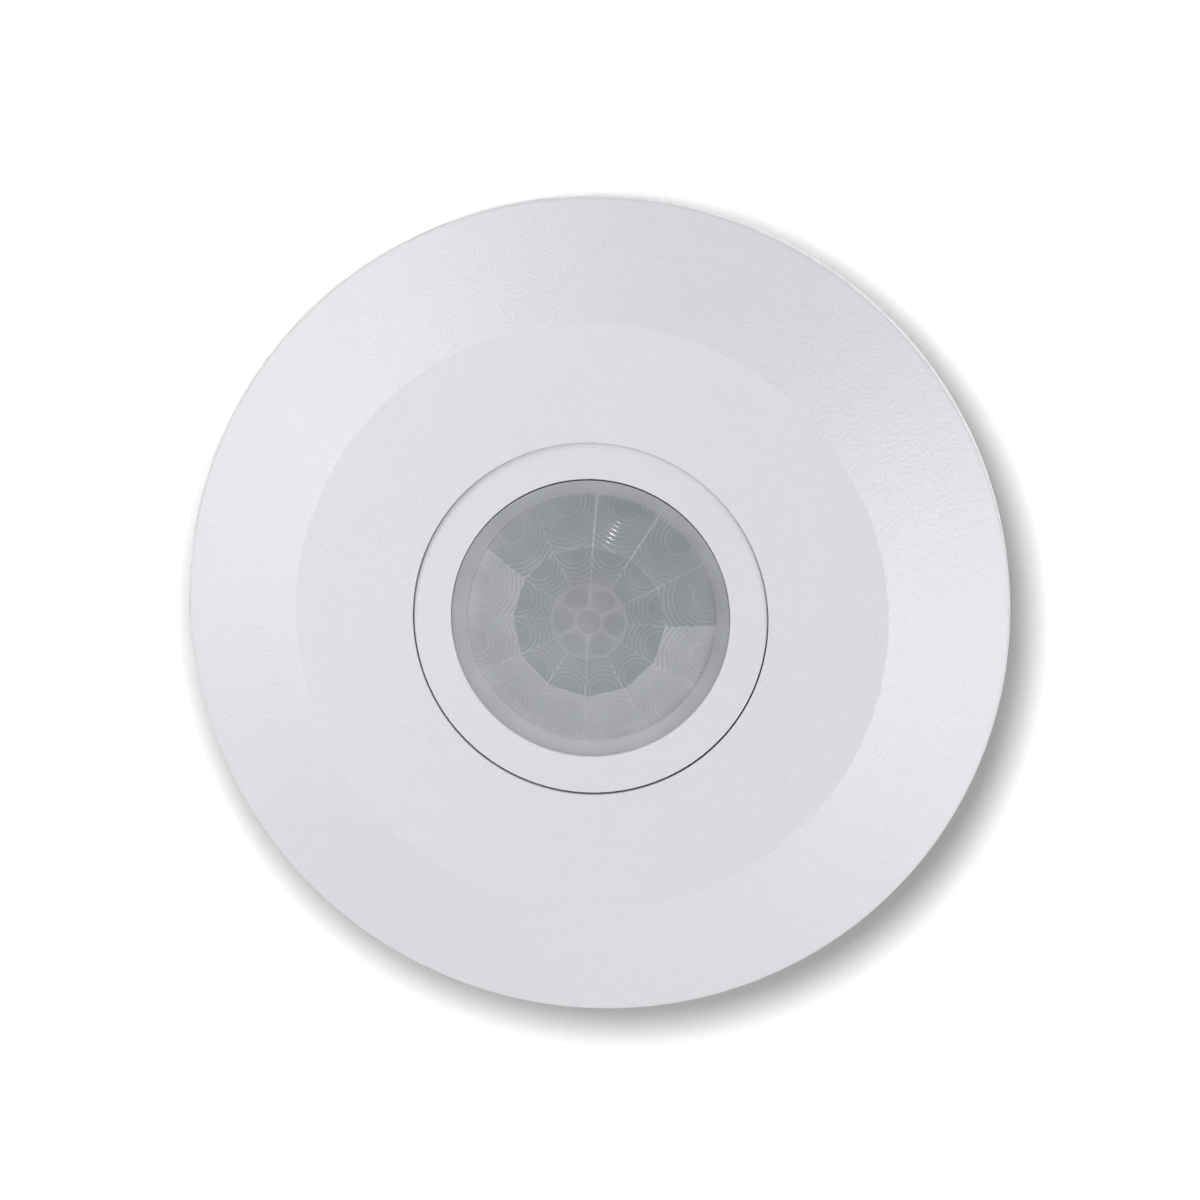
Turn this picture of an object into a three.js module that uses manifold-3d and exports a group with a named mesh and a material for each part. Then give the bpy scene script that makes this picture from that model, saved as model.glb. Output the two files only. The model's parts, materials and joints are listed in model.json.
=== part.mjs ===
// Flush ceiling motion sensor: a wide trim cover and a segmented lens in front of a round housing
// that drops through a hole in the ceiling and is held there by two sprung wing clips.
//
// Millimetres. +Z is the way the lens looks. The origin is the centre of the housing's rear face.

import * as THREE from 'three';
import { mergeVertices } from 'three/addons/utils/BufferGeometryUtils.js';
import Module from 'manifold-3d';

const wasm = await Module();
wasm.setup();

// ---------------------------------------------------------------- driving dimensions

const GAP = 0.3; // clearance between neighbouring pieces
const OVERSHOOT = 1; // how far a cutting solid runs past the face it cuts

const CEILING_Z = 36; // plane of the ceiling face that the flange and the cover's rim bear on
const PLATEAU_Z = 47; // flat front face of the cover

const COVER_RADIUS = 55;
const COVER_PLATEAU_RADIUS = 39.2;
const COVER_HOLE_RADIUS = 23.5;
const COVER_WALL = 1.8;
const COVER_RIM_HEIGHT = 4.5;
const COVER_RIM_ROUND = 0.9;
const COVER_SKIRT_WALL = 1.4;

const LENS_OPENING_RADIUS = 18.45;
const LENS_FLANGE_RADIUS = 20.4;
const LENS_FACETS = 12;
const LENS_FACET_PHASE = THREE.MathUtils.degToRad(-3);

const FLANGE_RADIUS = 39;
const FLANGE_THICKNESS = 2.4;
const TUNNEL_INNER_RADIUS = 18.9;
const TUNNEL_OUTER_RADIUS = 21.5;

const HOUSING_RADIUS = 34;
const HOUSING_WALL = 2;
const HOUSING_TOP_Z = CEILING_Z; // the flange is recessed by one gap over the housing
const TERMINAL_FLAT_Y = -26; // outer face of the housing's flat side
const CABLE_STEP_Y = -13; // the rear face is stepped up on the terminal side of this line
const CABLE_STEP_Z = 2.4;
const STEP_FLOOR = 1.6;
const WINDOW = { halfWidth: 13.5, bottom: 5.8, top: 20.5 }; // opening in the flat side, behind the lid
const CABLE_PLATE = { halfWidth: 11, front: -23.5, back: -13.5, ledge: 1.6, flange: 0.8 };

const POCKET_FACE_X = 27.2; // back face of the pocket that a wing clip folds into
const POCKET_HALF_WIDTH = 8.6;
const POCKET_WALL = 1.6;
const POCKET_TOP_Z = 33.6;

const BOARD_THICKNESS = 1.6;
const SENSOR_BOARD_Z = 28;
const POWER_BOARD_Z = 20.3;
const BOARD_RADIUS = HOUSING_RADIUS - HOUSING_WALL - 0.8;

const BOSS_CIRCLE_RADIUS = 29.6;
const BOSS_RADIUS = 2.6;
const BOSS_ANGLES = [45, 135, 225, 315];
const BOSS_TOP_Z = 33;
const BOSS_LEDGE_RADIUS = 3.6;
const BOSS_LEDGE_Z = POWER_BOARD_Z - GAP;
const BOSS_PILOT = { radius: 1.5, depth: 11 };
const CORNER_MARGIN = 0.4; // by which a pocket's side wall runs past the pocket

const SENSOR_POSTS = [[20, -12], [-20, -12], [0, 20.5]]; // under the flange, for the sensor board
const POWER_POSTS = [[22, -12.5], [-22, -12.5]]; // in the housing, for the power board
const POST_RADIUS = 2.3;
const POST_PILOT_RADIUS = 1.3;
const POST_PILOT_DEPTH = 8.3;

const DIAL_CIRCLE_RADIUS = 27.4;
const DIAL_ANGLES = [114, 90, 66];
const DIAL_NAMES = ['time', 'lux', 'range'];
const DIAL_RADIUS = 3;
const LOOSE_FIT = 0.4; // round the dials and the housing screws, where they pass the flange
const DIAL_TOP_Z = CEILING_Z + 4;
const DIAL_CHAMFER = 0.4;
const DIAL_SLOT = { halfWidth: 0.45, depth: 1.1, wall: 1 };
const TRIMMER_SIDE = 6.5;
const TRIMMER_HEIGHT = 4.5;

const PIR_CAN = { radius: 4.1, brim: 4.6, brimHeight: 0.5, height: 4.2, corner: 0.3 };
const PIR_WINDOW = { halfWidth: 2.2, halfDepth: 1.7, bottom: 3.9, thickness: 0.25 };
const PIR_LIFT = 1.9; // height of the detector's foot over the spacer's foot
const LAMP = { radius: 1.5, height: 4.2, x: 8, y: -5.5 };

const WING_PIVOT_X = 30;
const WING_PIVOT_Z = 29;
const WING_HALF_WIDTH = 8.2;
const WING_SHEET = 1;
const WING_KNUCKLE_RADIUS = 2.4;
const WING_PIN_RADIUS = 1;
const SPRING_COIL_RADIUS = 1.85;
const SPRING_WIRE_RADIUS = 0.35;
const SPRING_TURNS = 4.25;
const SPRING_LEG = 8.5;
const SPRING_HALF_WIDTH = 3.4;
const COIL_SLOT_HALF_WIDTH = 4.4; // gap in the wing's knuckle for the spring's coil

const LID_HALF_WIDTH = 15.5;
const LID_THICKNESS = 1.8;
const LID_BOTTOM_Z = 4.6;
const LID_FINGER = { halfWidth: 4, reach: 1.3, height: 1.2 };
const LID_PIVOT_Y = TERMINAL_FLAT_Y - 2.3;
const LID_PIVOT_Z = 24.4;
const LID_KNUCKLE_RADIUS = 1.9;
const LID_PIN_RADIUS = 0.8;

const GROMMET_Y = -18.5;
const GROMMET_BORE_RADIUS = 3.4;
const GROMMET_NECK_RADIUS = 3.95;
const GROMMET_COLLAR_RADIUS = 4.9;

const HEADER = { halfWidth: 6.4, halfDepth: 1.3, y: -9 };
const BULK_CAPACITOR = { radius: 4.5, height: 14, x: -14, y: 8 };
const FUSE = { radius: 1.8, halfLength: 5, drop: 2.1, x: 4.5, y: -10.5 };
const SPACER_RADIUS = 5;
const CHIP = { width: 9, depth: 6, height: 1.6, corner: 0.3, y: -15 };

const HOUSING_SCREW = { headRadius: 2.6, headHeight: 1.7, shankRadius: 1.2, length: 14 };
const SENSOR_SCREW = { headRadius: 2, headHeight: 1.4, shankRadius: 1, length: 5 };
const POWER_SCREW = { ...SENSOR_SCREW, length: 7 };

const TERMINAL_PITCH = 7.5;
const TERMINAL_BLOCK = { halfWidth: 12.2, front: -25.6, back: -13.8, bottom: 10.5, top: 20 };
const TERMINAL_AXIS_Z = 14.6; // height of the clamp screws
const TERMINAL_CELL = { halfWidth: 2.6, frontWall: 2.7, backWall: 0.9, roof: 1.4 };
const CLAMP_SCREW = { headRadius: 1.75, shankRadius: 1.05, head: 1.3, inset: 0.4, tip: -19.3 };
const CONTACT = { halfWidth: 1.05, front: -19, back: -18.4, bottom: 11.2 };
const CAGE = { halfWidth: 2.2, front: -20.6, back: -15, bottom: 12.1, top: 17.1, wall: 1 };

// ---------------------------------------------------------------- materials

const material = (color, roughness, metalness = 0) =>
  new THREE.MeshStandardMaterial({ color, roughness, metalness });

const WHITE_PLASTIC = material(0xdcdde1, 0.55);
const INNER_PLASTIC = material(0xe4e4e2, 0.6);
const LENS_PLASTIC = material(0xa9acaf, 0.35);
const CLEAR_PLASTIC = material(0xd8dcda, 0.15);
const RED_PLASTIC = material(0xb3221c, 0.2);
const BLACK_PLASTIC = material(0x202124, 0.5);
const BLUE_PLASTIC = material(0x2b5fa8, 0.45);
const GREEN_PLASTIC = material(0x3f7d4c, 0.5);
const YELLOW_PLASTIC = material(0xd9b63a, 0.5);
const GREY_RUBBER = material(0x55585c, 0.85);
const SPRING_STEEL = material(0xb9bcc0, 0.35, 1);
const SCREW_STEEL = material(0xc9ccd0, 0.3, 1);
const CAN_METAL = material(0xc4c2ba, 0.28, 1);
const FILTER_SILICON = material(0x3a2d38, 0.2, 0.4);
const BRASS = material(0xc7a24a, 0.35, 1);
const CIRCUIT_BOARD = material(0x1f5f3d, 0.5);

// ---------------------------------------------------------------- solids

// A closed, indexed geometry with outward faces and no repeated vertices or collapsed triangles.
function closed(geometry) {
  const source = geometry.clone();
  source.deleteAttribute('normal');
  source.deleteAttribute('uv');
  source.clearGroups();
  const merged = mergeVertices(source, 1e-4);
  const index = merged.index.array;
  const kept = [];
  for (let i = 0; i < index.length; i += 3) {
    const [a, b, c] = [index[i], index[i + 1], index[i + 2]];
    if (a !== b && b !== c && c !== a) kept.push(a, b, c);
  }
  merged.setIndex(kept);
  if (signedVolume(merged) < 0) merged.setIndex(kept.reverse());
  merged.computeVertexNormals();
  return merged;
}

function signedVolume(geometry) {
  const position = geometry.attributes.position;
  const index = geometry.index.array;
  const [a, b, c] = [new THREE.Vector3(), new THREE.Vector3(), new THREE.Vector3()];
  let sum = 0;
  for (let i = 0; i < index.length; i += 3) {
    a.fromBufferAttribute(position, index[i]);
    b.fromBufferAttribute(position, index[i + 1]);
    c.fromBufferAttribute(position, index[i + 2]);
    sum += a.dot(b.cross(c)) / 6;
  }
  return sum;
}

function solid(geometry) {
  const shape = closed(geometry);
  return new wasm.Manifold(new wasm.Mesh({
    numProp: 3,
    vertProperties: new Float32Array(shape.attributes.position.array),
    triVerts: new Uint32Array(shape.index.array),
  }));
}

function geometryOf(manifold) {
  const mesh = manifold.getMesh();
  const geometry = new THREE.BufferGeometry();
  geometry.setAttribute('position', new THREE.BufferAttribute(new Float32Array(mesh.vertProperties), 3));
  geometry.setIndex(Array.from(mesh.triVerts));
  geometry.computeVertexNormals();
  return geometry;
}

const joined = (geometries) =>
  geometryOf(geometries.map(solid).reduce((whole, piece) => whole.add(piece)));

const cut = (geometry, tools) =>
  geometryOf(tools.map(solid).reduce((whole, tool) => whole.subtract(tool), solid(geometry)));

// A solid of revolution about Z from an outline of [radius, z]. An outline off the axis closes on itself.
function turned(outline, segments = 48) {
  const points = outline.map(([r, z]) => new THREE.Vector2(r, z));
  const first = points[0];
  const last = points[points.length - 1];
  if (first.x > 0 || last.x > 0) points.push(first.clone());
  return closed(new THREE.LatheGeometry(points, segments).rotateX(Math.PI / 2));
}

const cylinderZ = (radius, bottom, top, x = 0, y = 0, sides = 20) =>
  new THREE.CylinderGeometry(radius, radius, top - bottom, sides)
    .rotateX(Math.PI / 2)
    .translate(x, y, (top + bottom) / 2);

const cylinderY = (radius, front, back, x, z, sides = 20) =>
  new THREE.CylinderGeometry(radius, radius, back - front, sides).translate(x, (front + back) / 2, z);

const cylinderX = (radius, left, right, y, z, sides = 20) =>
  new THREE.CylinderGeometry(radius, radius, right - left, sides)
    .rotateZ(Math.PI / 2)
    .translate((left + right) / 2, y, z);

const block = ([x0, x1], [y0, y1], [z0, z1]) =>
  new THREE.BoxGeometry(x1 - x0, y1 - y0, z1 - z0)
    .translate((x0 + x1) / 2, (y0 + y1) / 2, (z0 + z1) / 2);

function raised(shape, bottom, top, curveSegments = 12) {
  const depth = top - bottom;
  return new THREE.ExtrudeGeometry(shape, { depth, bevelEnabled: false, curveSegments })
    .translate(0, 0, bottom);
}

// A disc with one flat side at y = flatY.
function flattedDisc(radius, flatY) {
  const start = Math.asin(flatY / radius);
  const shape = new THREE.Shape();
  shape.absarc(0, 0, radius, start, Math.PI - start, false);
  return shape;
}

function roundedRectangle(width, depth, corner) {
  const [x, y] = [width / 2, depth / 2];
  const shape = new THREE.Shape();
  shape.absarc(x - corner, y - corner, corner, 0, Math.PI / 2);
  shape.absarc(-x + corner, y - corner, corner, Math.PI / 2, Math.PI);
  shape.absarc(-x + corner, -y + corner, corner, Math.PI, 1.5 * Math.PI);
  shape.absarc(x - corner, -y + corner, corner, 1.5 * Math.PI, 2 * Math.PI);
  return shape;
}

// The outline of a bent sheet that follows the points, as thick as the sheet.
function bentSheet(points, thickness) {
  const line = points.map(([x, y]) => new THREE.Vector2(x, y));
  const side = (i) => {
    const before = line[Math.max(i - 1, 0)];
    const after = line[Math.min(i + 1, line.length - 1)];
    const along = after.clone().sub(before).normalize();
    return new THREE.Vector2(-along.y, along.x).multiplyScalar(thickness / 2);
  };
  const upper = line.map((p, i) => p.clone().add(side(i)));
  const lower = line.map((p, i) => p.clone().sub(side(i)));
  return new THREE.Shape([...upper, ...lower.reverse()]);
}

function onCircle(radius, degrees) {
  const angle = THREE.MathUtils.degToRad(degrees);
  return [radius * Math.cos(angle), radius * Math.sin(angle)];
}

const sensor = new THREE.Group();

function add(name, geometry, look, parent = sensor) {
  const mesh = new THREE.Mesh(geometry, look);
  mesh.name = name;
  parent.add(mesh);
  return mesh;
}

// ---------------------------------------------------------------- front

function trimCover() {
  const rimTop = CEILING_Z + COVER_RIM_HEIGHT;
  const slope = (PLATEAU_Z - rimTop) / (COVER_RADIUS - COVER_PLATEAU_RADIUS);
  const innerRadius = COVER_RADIUS - COVER_WALL;
  const underside = PLATEAU_Z - COVER_WALL;
  const innerBendRadius = COVER_PLATEAU_RADIUS - COVER_WALL * slope / 2;
  const innerCone = (r) => underside - (r - innerBendRadius) * slope;
  const skirtInner = FLANGE_RADIUS + GAP + 0.1;
  const skirtOuter = skirtInner + COVER_SKIRT_WALL;
  const skirtBottom = CEILING_Z + 1;
  const lipRadius = COVER_HOLE_RADIUS + 1.5;
  const lipBottom = underside - 1.4;
  const edge = 0.25;

  const front = new THREE.Path();
  front.moveTo(COVER_HOLE_RADIUS, PLATEAU_Z - edge);
  front.lineTo(COVER_HOLE_RADIUS + edge, PLATEAU_Z);
  front.lineTo(COVER_PLATEAU_RADIUS, PLATEAU_Z);
  front.lineTo(COVER_RADIUS - COVER_RIM_ROUND, rimTop + COVER_RIM_ROUND * slope);
  front.quadraticCurveTo(COVER_RADIUS, rimTop, COVER_RADIUS, rimTop - COVER_RIM_ROUND);
  front.lineTo(COVER_RADIUS, CEILING_Z);
  const outline = front.getPoints(3).map((p) => [p.x, p.y]);
  outline.push(
    [innerRadius, CEILING_Z],
    [innerRadius, innerCone(innerRadius)],
    [skirtOuter, innerCone(skirtOuter)],
    [skirtOuter, skirtBottom],
    [skirtInner, skirtBottom],
    [skirtInner, innerCone(skirtInner)],
    [innerBendRadius, underside],
    [lipRadius, underside],
    [lipRadius, lipBottom],
    [COVER_HOLE_RADIUS, lipBottom],
  );
  return turned(outline, 56);
}

function lensBezel() {
  const outer = COVER_HOLE_RADIUS - GAP - 0.05;
  const wall = 1.25;
  const top = PLATEAU_Z - 0.35;
  const bottom = CEILING_Z + FLANGE_THICKNESS + GAP;
  const edge = 0.25;
  return turned([
    [LENS_OPENING_RADIUS, top - edge],
    [LENS_OPENING_RADIUS + edge, top],
    [outer - edge, top],
    [outer, top - edge],
    [outer, bottom],
    [outer - wall, bottom],
    [outer - wall, top - wall],
    [LENS_OPENING_RADIUS, top - wall],
  ], 48);
}

// Twelve flat facets around a flatter middle, in a round dished rim with a step that the bezel holds down.
function fresnelLens() {
  const wall = 0.85;
  const crown = PLATEAU_Z + 0.9;
  const shoulderRadius = 10.1;
  const shoulder = PLATEAU_Z + 0.7;
  const footRadius = 17.1;
  const foot = PLATEAU_Z - 2.5;
  const rimRadius = LENS_OPENING_RADIUS - GAP;
  const rimTop = PLATEAU_Z - 0.95;
  const ledge = PLATEAU_Z - 1.9;
  const dishRadius = 16.2;
  const dish = PLATEAU_Z - 2.45;
  const facets = turned([
    [0, crown],
    [shoulderRadius, shoulder],
    [footRadius, foot],
    [footRadius, foot - wall],
    [shoulderRadius, shoulder - wall],
    [0, crown - wall],
  ], LENS_FACETS).rotateZ(LENS_FACET_PHASE);
  const rim = turned([
    [dishRadius, dish],
    [rimRadius - wall / 3, rimTop],
    [rimRadius, rimTop],
    [rimRadius, ledge],
    [LENS_FLANGE_RADIUS, ledge],
    [LENS_FLANGE_RADIUS, ledge - wall],
    [rimRadius - wall, ledge - wall],
    [dishRadius, dish - 1.3 * wall],
  ], 48);
  return joined([facets, rim]);
}

// Flange with the lens tunnel in front and the sensor board's posts behind.
function frontBody() {
  const flangeTop = CEILING_Z + FLANGE_THICKNESS;
  const recessRadius = HOUSING_RADIUS + GAP;
  const recessZ = HOUSING_TOP_Z + GAP;
  const tunnelTop = PLATEAU_Z - 3.05;
  const postBottom = SENSOR_BOARD_Z + BOARD_THICKNESS + GAP;
  const postTop = recessZ + OVERSHOOT;
  const pilotTop = postBottom + 4.5;
  const pilotBottom = postBottom - OVERSHOOT;
  const plate = turned([
    [TUNNEL_INNER_RADIUS, recessZ],
    [recessRadius, recessZ],
    [recessRadius, CEILING_Z],
    [FLANGE_RADIUS, CEILING_Z],
    [FLANGE_RADIUS, flangeTop],
    [TUNNEL_OUTER_RADIUS, flangeTop],
    [TUNNEL_OUTER_RADIUS, tunnelTop],
    [TUNNEL_INNER_RADIUS, tunnelTop],
  ], 48);
  const screwHole = HOUSING_SCREW.shankRadius + LOOSE_FIT;
  const posts = SENSOR_POSTS.map(([x, y]) => cylinderZ(POST_RADIUS, postBottom, postTop, x, y, 16));
  const holes = [
    ...SENSOR_POSTS.map(([x, y]) => cylinderZ(POST_PILOT_RADIUS, pilotBottom, pilotTop, x, y, 12)),
    ...DIAL_ANGLES.map((a) => through(DIAL_RADIUS + LOOSE_FIT, onCircle(DIAL_CIRCLE_RADIUS, a), 24)),
    ...BOSS_ANGLES.map((a) => through(screwHole, onCircle(BOSS_CIRCLE_RADIUS, a), 14)),
  ];
  return cut(joined([plate, ...posts]), holes);

  function through(radius, [x, y], sides) {
    return cylinderZ(radius, CEILING_Z - OVERSHOOT, flangeTop + OVERSHOOT, x, y, sides);
  }
}

function buildFront() {
  add('trim_cover', trimCover(), WHITE_PLASTIC);
  add('lens_bezel', lensBezel(), WHITE_PLASTIC);
  add('fresnel_lens', fresnelLens(), LENS_PLASTIC);
  add('front_body', frontBody(), INNER_PLASTIC);
}

// ---------------------------------------------------------------- housing

// What the housing's hollow leaves standing: pocket walls, screw bosses and board posts.
function housingKeeps() {
  const floor = -OVERSHOOT;
  const ceiling = HOUSING_TOP_Z + 2 * OVERSHOOT;
  const pocketInner = POCKET_FACE_X - POCKET_WALL;
  const wallReach = POCKET_HALF_WIDTH + POCKET_WALL + CORNER_MARGIN;
  const bosses = BOSS_ANGLES.flatMap((angle) => {
    const [x, y] = onCircle(BOSS_CIRCLE_RADIUS, angle);
    return [
      cylinderZ(BOSS_RADIUS, floor, BOSS_TOP_Z, x, y, 14),
      cylinderZ(BOSS_LEDGE_RADIUS, floor, BOSS_LEDGE_Z, x, y, 14),
    ];
  });
  return [
    block([pocketInner, HOUSING_RADIUS], [-wallReach, wallReach], [floor, ceiling]),
    block([-HOUSING_RADIUS, -pocketInner], [-wallReach, wallReach], [floor, ceiling]),
    ...bosses,
    ...POWER_POSTS.map(([x, y]) => cylinderZ(POST_RADIUS, floor, POWER_BOARD_Z - GAP, x, y, 16)),
  ];
}

function lidLugs() {
  const thickness = 1.8;
  const inner = LID_HALF_WIDTH + 0.4;
  const arm = LID_KNUCKLE_RADIUS;
  const [low, high] = [LID_PIVOT_Z - arm, LID_PIVOT_Z + arm];
  return [inner, -inner - thickness].flatMap((left) => [
    cylinderX(arm, left, left + thickness, LID_PIVOT_Y, LID_PIVOT_Z, 18),
    block([left, left + thickness], [LID_PIVOT_Y, TERMINAL_FLAT_Y + 0.5], [low, high]),
  ]);
}

function rearHousing() {
  const innerRadius = HOUSING_RADIUS - HOUSING_WALL;
  const innerFlat = TERMINAL_FLAT_Y + HOUSING_WALL;
  const stepTop = CABLE_STEP_Z + STEP_FLOOR;
  const wide = 2 * HOUSING_RADIUS;
  const shell = raised(flattedDisc(HOUSING_RADIUS, TERMINAL_FLAT_Y), 0, HOUSING_TOP_Z, 28);
  const hollow = raised(flattedDisc(innerRadius, innerFlat), HOUSING_WALL, HOUSING_TOP_Z + OVERSHOOT, 28);
  const stepFill = block([-wide, wide], [-wide, CABLE_STEP_Y + STEP_FLOOR], [-OVERSHOOT, stepTop]);
  const pocket = block(
    [POCKET_FACE_X, HOUSING_RADIUS + OVERSHOOT],
    [-POCKET_HALF_WIDTH, POCKET_HALF_WIDTH],
    [-OVERSHOOT, POCKET_TOP_Z],
  );
  const pinReach = POCKET_HALF_WIDTH + POCKET_WALL + 2 * OVERSHOOT;
  const pinHole = cylinderY(WING_PIN_RADIUS + GAP, -pinReach, pinReach, WING_PIVOT_X, WING_PIVOT_Z, 16);
  const bossHoles = BOSS_ANGLES.map((angle) => {
    const [x, y] = onCircle(BOSS_CIRCLE_RADIUS, angle);
    return cylinderZ(BOSS_PILOT.radius, BOSS_TOP_Z - BOSS_PILOT.depth, BOSS_TOP_Z + OVERSHOOT, x, y, 12);
  });
  const pilotBottom = POWER_BOARD_Z - POST_PILOT_DEPTH;
  const postHoles = POWER_POSTS.map(([x, y]) =>
    cylinderZ(POST_PILOT_RADIUS, pilotBottom, POWER_BOARD_Z, x, y, 12));
  const window = block(
    [-WINDOW.halfWidth, WINDOW.halfWidth],
    [TERMINAL_FLAT_Y - OVERSHOOT, innerFlat + OVERSHOOT],
    [WINDOW.bottom, WINDOW.top],
  );
  const cableOpening = block(
    [-CABLE_PLATE.halfWidth - GAP, CABLE_PLATE.halfWidth + GAP],
    [CABLE_PLATE.front - GAP, CABLE_PLATE.back + GAP],
    [-OVERSHOOT, stepTop + OVERSHOOT],
  );
  return cut(joined([cut(shell, [cut(hollow, [...housingKeeps(), stepFill])]), ...lidLugs()]), [
    pocket,
    pocket.clone().rotateZ(Math.PI),
    pinHole,
    pinHole.clone().rotateZ(Math.PI),
    block([-wide, wide], [-wide, CABLE_STEP_Y], [-OVERSHOOT, CABLE_STEP_Z]),
    window,
    cableOpening,
    cylinderX(LID_PIN_RADIUS + GAP, -wide, wide, LID_PIVOT_Y, LID_PIVOT_Z, 14),
    ...bossHoles,
    ...postHoles,
  ]);
}

function terminalLid() {
  const inside = TERMINAL_FLAT_Y - GAP;
  const outside = inside - LID_THICKNESS;
  const plate = block([-LID_HALF_WIDTH, LID_HALF_WIDTH], [outside, inside], [LID_BOTTOM_Z, LID_PIVOT_Z]);
  const knuckle = cylinderX(
    LID_KNUCKLE_RADIUS, -LID_HALF_WIDTH, LID_HALF_WIDTH, LID_PIVOT_Y, LID_PIVOT_Z, 18,
  );
  const fingerLip = block(
    [-LID_FINGER.halfWidth, LID_FINGER.halfWidth],
    [outside - LID_FINGER.reach, inside],
    [LID_BOTTOM_Z, LID_BOTTOM_Z + LID_FINGER.height],
  );
  const pinHole = cylinderX(
    LID_PIN_RADIUS + GAP, -HOUSING_RADIUS, HOUSING_RADIUS, LID_PIVOT_Y, LID_PIVOT_Z, 14,
  );
  return cut(joined([plate, knuckle, fingerLip]), [pinHole]);
}

// Closes the opening in the housing's step. Its two ends lie on the step, and it carries the grommet.
function cablePlate() {
  const { halfWidth, front, back, ledge, flange } = CABLE_PLATE;
  const stepTop = CABLE_STEP_Z + STEP_FLOOR;
  const top = stepTop + GAP + flange;
  const plate = block([-halfWidth, halfWidth], [front, back], [CABLE_STEP_Z, top]);
  const ends = block([-halfWidth - ledge, halfWidth + ledge], [front, back], [stepTop + GAP, top]);
  const hole = cylinderZ(
    GROMMET_NECK_RADIUS + GAP, CABLE_STEP_Z - OVERSHOOT, top + OVERSHOOT, 0, GROMMET_Y, 24,
  );
  return cut(joined([plate, ends]), [hole]);
}

function cableGrommet() {
  const collarHeight = 1.1;
  const plateTop = CABLE_STEP_Z + STEP_FLOOR + GAP + CABLE_PLATE.flange;
  return turned([
    [GROMMET_BORE_RADIUS, CABLE_STEP_Z - GAP - collarHeight],
    [GROMMET_COLLAR_RADIUS, CABLE_STEP_Z - GAP - collarHeight],
    [GROMMET_COLLAR_RADIUS, CABLE_STEP_Z - GAP],
    [GROMMET_NECK_RADIUS, CABLE_STEP_Z - GAP],
    [GROMMET_NECK_RADIUS, plateTop + GAP],
    [GROMMET_COLLAR_RADIUS, plateTop + GAP],
    [GROMMET_COLLAR_RADIUS, plateTop + GAP + collarHeight],
    [GROMMET_BORE_RADIUS, plateTop + GAP + collarHeight],
  ], 20);
}

function buildHousing() {
  const pinReach = LID_HALF_WIDTH + 2.2;
  add('rear_housing', rearHousing(), WHITE_PLASTIC);
  add('terminal_lid', terminalLid(), WHITE_PLASTIC);
  const lidPin = cylinderX(LID_PIN_RADIUS, -pinReach, pinReach, LID_PIVOT_Y, LID_PIVOT_Z, 12);
  add('terminal_lid_pin', lidPin, SPRING_STEEL);
  add('cable_plate', cablePlate(), INNER_PLASTIC);
  add('cable_grommet', cableGrommet(), GREY_RUBBER).position.y = GROMMET_Y;
}

// ---------------------------------------------------------------- wing clips

// A pressed sheet with a rolled knuckle at the pin, sloping up to a rounded bend that bears on the ceiling.
function wingClip() {
  const sheetZ = WING_KNUCKLE_RADIUS - WING_SHEET / 2;
  const line = [[0, sheetZ], [17.6, 5.3], [18.8, 5.45], [19.9, 5.1], [22, 4]];
  const arm = onWing(raised(bentSheet(line, WING_SHEET), -WING_HALF_WIDTH, WING_HALF_WIDTH));
  const knuckle = cylinderY(WING_KNUCKLE_RADIUS, -WING_HALF_WIDTH, WING_HALF_WIDTH, 0, 0, 20);
  const pinHole = cylinderY(WING_PIN_RADIUS + GAP, -WING_HALF_WIDTH - 1, WING_HALF_WIDTH + 1, 0, 0, 16);
  const coilSlot = block(
    [-WING_KNUCKLE_RADIUS - 0.6, WING_KNUCKLE_RADIUS + 1.2],
    [-COIL_SLOT_HALF_WIDTH, COIL_SLOT_HALF_WIDTH],
    [-WING_KNUCKLE_RADIUS - 0.6, WING_KNUCKLE_RADIUS + 1.6],
  );
  return cut(joined([arm, knuckle]), [pinHole, coilSlot]);

  // A shape drawn in x and z is extruded across the wing.
  function onWing(geometry) {
    return geometry.rotateX(Math.PI / 2);
  }
}

// The coil winds round the pin; its last turn runs off straight down the pocket's back face.
class SpringPath extends THREE.Curve {
  constructor() {
    super();
    this.coilLength = SPRING_TURNS * 2 * Math.PI * SPRING_COIL_RADIUS;
    this.legLength = SPRING_LEG;
    this.halfWidth = SPRING_HALF_WIDTH;
  }

  getPoint(t, target = new THREE.Vector3()) {
    const travelled = t * (this.coilLength + this.legLength);
    const share = Math.min(travelled / this.coilLength, 1);
    const angle = Math.PI - (1 - share) * SPRING_TURNS * 2 * Math.PI;
    const drop = Math.max(travelled - this.coilLength, 0);
    return target.set(
      SPRING_COIL_RADIUS * Math.cos(angle),
      this.halfWidth * (2 * share - 1),
      SPRING_COIL_RADIUS * Math.sin(angle) - drop,
    );
  }
}

function clipSpring() {
  const wire = new THREE.Shape();
  wire.absarc(0, 0, SPRING_WIRE_RADIUS, 0, 2 * Math.PI);
  return new THREE.ExtrudeGeometry(wire, { steps: 60, curveSegments: 3, extrudePath: new SpringPath() });
}

function buildWings() {
  for (const [side, turn] of [['right', 0], ['left', Math.PI]]) {
    const mounting = new THREE.Group();
    mounting.rotation.z = turn;
    const pivot = new THREE.Group();
    pivot.position.set(WING_PIVOT_X, 0, WING_PIVOT_Z);
    mounting.add(pivot);
    sensor.add(mounting);
    const pinReach = POCKET_HALF_WIDTH + POCKET_WALL + 0.2;
    add(`wing_clip_${side}`, wingClip(), SPRING_STEEL, pivot);
    add(`clip_spring_${side}`, closed(clipSpring()), SPRING_STEEL, pivot);
    add(`clip_pin_${side}`, cylinderY(WING_PIN_RADIUS, -pinReach, pinReach, 0, 0, 14), SCREW_STEEL, pivot);
  }
}

// ---------------------------------------------------------------- boards and electronics

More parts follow.
